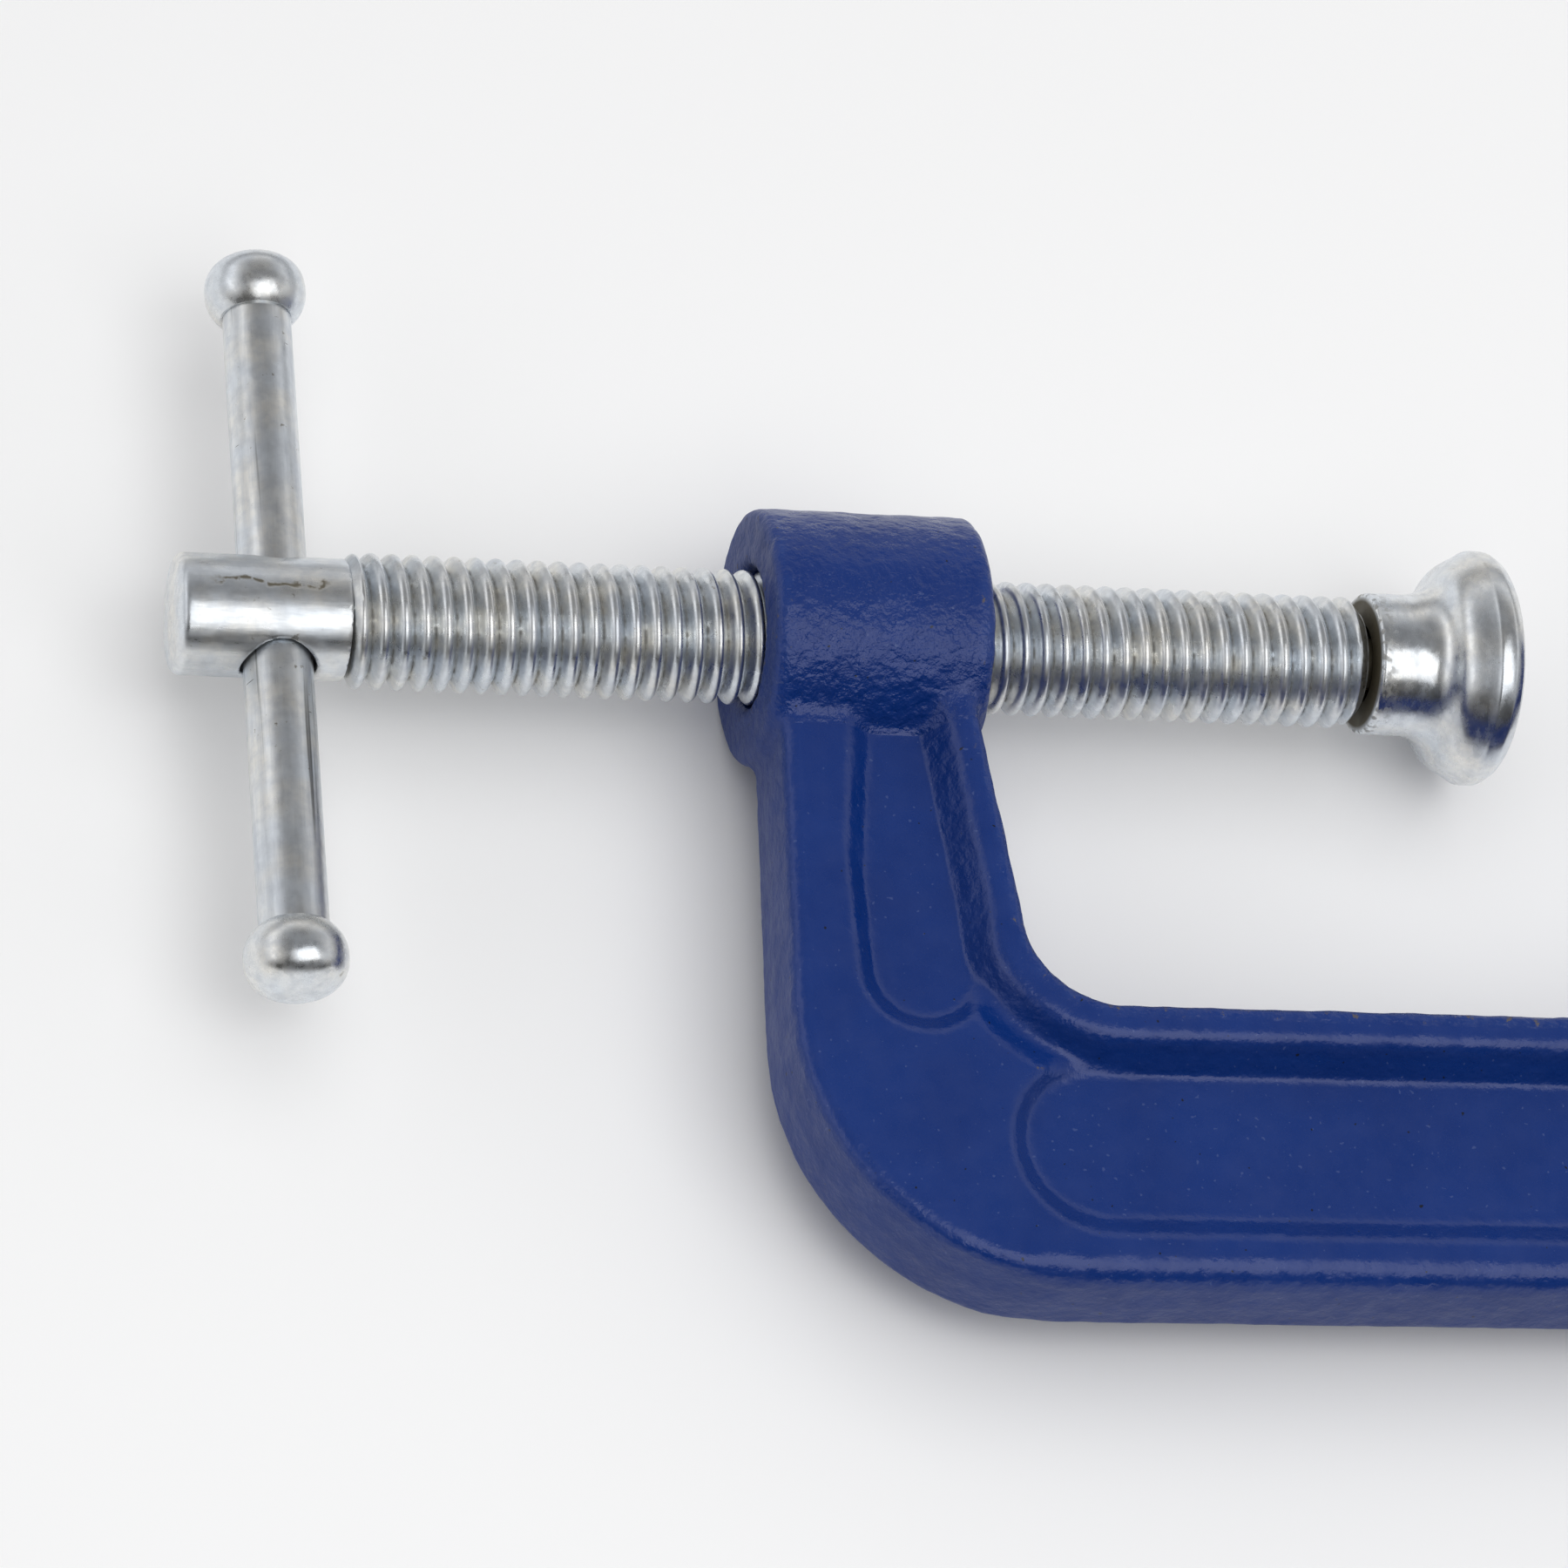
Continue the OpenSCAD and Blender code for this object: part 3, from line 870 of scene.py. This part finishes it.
def bezier(a, b, c, d, steps):
    """Points of a cubic curve from a to d."""
    a, b, c, d = (np.array(p, float) for p in (a, b, c, d))
    return [tuple((1 - t) ** 3 * a + 3 * (1 - t) ** 2 * t * b + 3 * (1 - t) * t * t * c + t ** 3 * d)
            for t in np.linspace(0, 1, steps)]


def pad_profile(s, nose_r):
    """The pad from its seat for the nose ball, out through the mouth and back over the flare."""
    x0, x1, r = PAD_LOW[0], PAD_HIGH[0], PAD_HIGH[1]
    c, lip, bore = s.collar_diameter / MM / 2, s.lip_diameter / MM / 2, s.bore_diameter / MM / 2
    lip_x, rim_x = x0 + s.lip_length / MM, x1 - s.rim_length / MM
    nose_x, seat = SPINDLE_HIGH[0] - nose_r, nose_r + 0.3
    cup = [(nose_x + seat * math.cos(a), seat * math.sin(a)) for a in np.linspace(0, 1.5, 14)[1:]]
    mouth = [(nose_x - 1.2, bore), (lip_x, bore), (lip_x, lip + 0.15), (lip_x - 0.2, lip),
             (x0 + 0.2, lip), (x0, lip + 0.25), (x0, c - 0.7)]
    collar = arc(x0 + 0.6, c - 0.6, 0.6, 170, 90, 6) + [(x0 + 2.8, c)]
    waist = (rim_x - 3.9, c + 2.6)
    flare = (bezier((x0 + 4.6, c), (rim_x - 5.6, c), (rim_x - 4.7, c + 1.0), waist, 14)[:-1]
             + bezier(waist, (rim_x - 3.1, c + 4.2), (rim_x - 1.5, r - 1.15), (rim_x, r - 0.20), 14))
    rim = [(rim_x + 0.15, r - 0.07), (rim_x + 0.4, r), (x1 - 1.6, r), (x1 - 1.25, r - 0.12),
           (x1 - 0.35, r - 0.75), (x1, r - 1.2), (x1, r - 1.6)]
    return [(nose_x + seat, 0)] + cup + mouth + collar + flare + rim + [(x1, 5), (x1, 0)]


# ---------------------------------------------------------------- operators, one for each piece


class CLAMP_OT_frame(bpy.types.Operator):
    """Build the cast and enamelled frame"""

    bl_idname = "clamp.frame"
    bl_label = "Cast frame"

    def execute(self, context):
        scene = context.scene
        sizes = scene.clamp_frame
        cast = CastFrame(sizes)
        points, faces = cast_surface(cast, sizes.cell / MM)
        away, _ = slopes(cast.distance, points, 0.2)
        marks = cast_marks(cast, points, away)
        points = rippled(cast, points, away, marks["grain"], sizes.ripple / MM)
        piece = make_piece("cast_frame", [(points, faces)], enamel_finish(scene.clamp_finishes), marks,
                           sharp=0)
        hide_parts("frame")
        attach(piece, "frame")
        return {"FINISHED"}


class CLAMP_OT_spindle(bpy.types.Operator):
    """Build the plated screw: head with its cross hole, thread, neck and nose ball"""

    bl_idname = "clamp.spindle"
    bl_label = "Spindle"

    def execute(self, context):
        scene = context.scene
        s = scene.clamp_screw
        zinc = zinc_finish("bright_zinc_screw", scene.clamp_finishes, (0.12, 1, 1), thread_dirt_and_shade,
                           polish=0.04)
        thread_x = SPINDLE_LOW[0] + s.head_length / MM
        thread_end = PAD_LOW[0] - 1.1
        shells = [screw_head(s, thread_x), screw_thread(s, thread_x, thread_end, zinc),
                  screw_nose(s, thread_end)]
        piece = make_piece("zinc_spindle", shells, zinc, sharp=50)
        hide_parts("spindle")
        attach(piece, "spindle")
        return {"FINISHED"}


class CLAMP_OT_tommy_bar(bpy.types.Operator):
    """Build the drawn tommy bar and its two pressed ball ends"""

    bl_idname = "clamp.tommy_bar"
    bl_label = "Tommy bar"

    def execute(self, context):
        colours = context.scene.clamp_finishes
        zinc = zinc_finish("bright_zinc_bar", colours, (1, 0.07, 1), marks=1.4, scored=True)
        centre = (BAR_LOW + BAR_HIGH) / 2
        r, half = (BAR_HIGH[0] - BAR_LOW[0]) / 2, BAR_HIGH[1] - centre[1]
        axis = (centre[0], 0, centre[2])
        bar = make_piece("zinc_tommy_bar", [turned(bar_profile(r, half), 72, "Y", axis)], zinc)
        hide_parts("tommy_bar")
        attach(bar, "tommy_bar")
        ball_zinc = zinc_finish("bright_zinc_ball", colours, (1, 1, 1), marks=0.8, polish=0.08)
        for name, node, side in (("zinc_ball_far", "tommy_ball_far", 1),
                                 ("zinc_ball_near", "tommy_ball_near", -1)):
            points, faces = turned(ball_profile(r), 72, "Y", axis)
            if side < 0:
                points = points * np.array([1, -1, 1])
                faces = [face[::-1] for face in faces]
            ball = make_piece(name, [(points, faces)], ball_zinc)
            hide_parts(node)
            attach(ball, "tommy_bar")
        return {"FINISHED"}


class CLAMP_OT_swivel_pad(bpy.types.Operator):
    """Build the turned swivel pad and dress the ring that holds it"""

    bl_idname = "clamp.swivel_pad"
    bl_label = "Swivel pad"

    def execute(self, context):
        scene = context.scene
        zinc = zinc_finish("bright_zinc_pad", scene.clamp_finishes, (1, 0.5, 0.5), mouth_shade_and_specks, 0.7,
                           polish=0.11)
        profile = pad_profile(scene.clamp_pad, scene.clamp_screw.nose_diameter / MM / 2)
        pad = make_piece("zinc_swivel_pad", [turned(profile, 112)], zinc, sharp=38)
        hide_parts("swivel_pad")
        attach(pad, "swivel_pad")
        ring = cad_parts["pad_retaining_ring"]
        ring.data.materials.clear()
        ring.data.materials.append(steel_finish())
        return {"FINISHED"}


class CLAMP_OT_stage(bpy.types.Operator):
    """Set the pale floor, the soft lights and the camera"""

    bl_idname = "clamp.stage"
    bl_label = "Stage"

    def execute(self, context):
        scene = context.scene
        s = scene.clamp_stage
        floor = pale_floor(s.floor_size / 2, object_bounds()[0].z, tuple(s.floor_colour))
        scene.collection.objects.link(floor)
        floor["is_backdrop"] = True
        scene.world = soft_room()
        key = softbox("key", (0.17, -0.50, 0.90), 1.15, (1.15, 0.92), s.key_light)
        top = softbox("top_light", (0.05, 0.12, 1.0), 1.4, (1.6, 1.6), s.top_light)
        top.visible_glossy = False
        camera = long_lens(s.lens)
        for item in (key, top, camera):
            scene.collection.objects.link(item)
        scene.camera = camera
        scene.view_settings.view_transform = "Standard"
        return {"FINISHED"}


def pale_floor(half, height, colour):
    """A matt floor under the clamp, with hardly visible clouds in its colour."""
    corners = [(-half, -half), (half, -half), (half, half), (-half, half)]
    mesh = bpy.data.meshes.new("floor")
    mesh.from_pydata([(x, y, height) for x, y in corners], [], [(0, 1, 2, 3)])
    paper = Finish("pale_paper")
    dim = tuple(0.985 * part for part in colour[:3]) + (1,)
    paper.set(Base_Color=paper.mix(paper.noise(400, 2), colour, dim), Roughness=0.75)
    mesh.materials.append(paper.material)
    return bpy.data.objects.new("floor", mesh)


def soft_room():
    """A grey room, brightest about 25 degrees up, darker towards -Y and lighter towards -X."""
    world = bpy.data.worlds.new("soft_room")
    world.use_nodes = True
    nodes, links = world.node_tree.nodes, world.node_tree.links
    split = nodes.new("ShaderNodeSeparateXYZ")
    links.new(nodes.new("ShaderNodeTexCoord").outputs["Generated"], split.inputs[0])

    ramp = nodes.new("ShaderNodeValToRGB")
    links.new(split.outputs["Z"], ramp.inputs[0])
    stops = ((0.0, 0.36), (0.16, 0.36), (0.42, 0.85), (0.62, 0.50), (0.80, 0.25), (1.0, 0.25))
    elements = ramp.color_ramp.elements
    while len(elements) < len(stops):
        elements.new(0.5)
    for element, (place, level) in zip(elements, stops):
        element.position = place
        element.color = (level, level, level * 1.01, 1)

    def faded(axis, start, stop, level):
        """1 up to start along an axis, level from stop on."""
        node = nodes.new("ShaderNodeMapRange")
        for name, value in (("From Min", start), ("From Max", stop), ("To Min", 1.0), ("To Max", level)):
            node.inputs[name].default_value = value
        links.new(split.outputs[axis], node.inputs["Value"])
        return node.outputs[0]

    def product_of(kind, a, b):
        node = nodes.new(kind)
        node.operation = "MULTIPLY"
        links.new(a, node.inputs[0])
        links.new(b, node.inputs[1])
        return node.outputs[0]

    sides = product_of("ShaderNodeMath", faded("Y", -0.35, -0.75, 0.12), faded("X", -0.5, -0.85, 1.6))
    light = product_of("ShaderNodeVectorMath", ramp.outputs[0], sides)
    links.new(light, nodes["Background"].inputs["Color"])
    nodes["Background"].inputs["Strength"].default_value = 1.0
    return world


def softbox(name, direction, away, size, power):
    """A rectangular soft light, hidden from the camera, that faces the clamp."""
    light = bpy.data.lights.new(name, "AREA")
    light.shape = "RECTANGLE"
    light.size, light.size_y = size
    light.energy = power
    lamp = bpy.data.objects.new(name, light)
    aim = Vector(direction).normalized()
    lamp.location = LIT_POINT + aim * away
    lamp.rotation_euler = aim.to_track_quat("Z", "Y").to_euler()
    lamp.visible_camera = False
    return lamp


def long_lens(focal_length):
    """The camera, high over the screw side and a little to the front."""
    lens = bpy.data.cameras.new("camera")
    lens.lens = focal_length
    lens.sensor_width = 36
    lens.clip_start = 0.01
    lens.clip_end = 50
    camera = bpy.data.objects.new("camera", lens)
    camera.location = (-0.335804, -0.365348, 0.646406)
    camera.rotation_euler = Euler([math.radians(a) for a in (28.53835, -14.22801, -5.32337)])
    return camera


class CLAMP_PT_pieces(bpy.types.Panel):
    """Buttons for every piece of the clamp"""

    bl_idname = "CLAMP_PT_pieces"
    bl_label = "C clamp"
    bl_space_type = "VIEW_3D"
    bl_region_type = "UI"
    bl_category = "C clamp"

    def draw(self, context):
        for operator in OPERATORS:
            self.layout.operator(operator.bl_idname)
        for key, group in GROUPS.items():
            box = self.layout.box()
            for name in group.__annotations__:
                box.prop(getattr(context.scene, key), name)


OPERATORS = (CLAMP_OT_frame, CLAMP_OT_spindle, CLAMP_OT_tommy_bar, CLAMP_OT_swivel_pad, CLAMP_OT_stage)
GROUPS = {"clamp_frame": ClampFrameSizes, "clamp_screw": ClampScrewSizes, "clamp_pad": ClampPadSizes,
          "clamp_finishes": ClampFinishes, "clamp_stage": ClampStageSettings}
CLASSES = tuple(GROUPS.values()) + OPERATORS + (CLAMP_PT_pieces,)


def register():
    for item in CLASSES:
        bpy.utils.register_class(item)
    for key, group in GROUPS.items():
        setattr(bpy.types.Scene, key, bpy.props.PointerProperty(type=group))


def unregister():
    for key in GROUPS:
        delattr(bpy.types.Scene, key)
    for item in reversed(CLASSES):
        bpy.utils.unregister_class(item)


def main():
    register()
    bpy.ops.clamp.frame()
    bpy.ops.clamp.spindle()
    bpy.ops.clamp.tommy_bar()
    bpy.ops.clamp.swivel_pad()
    bpy.ops.clamp.stage()


if __name__ == "__main__":
    main()
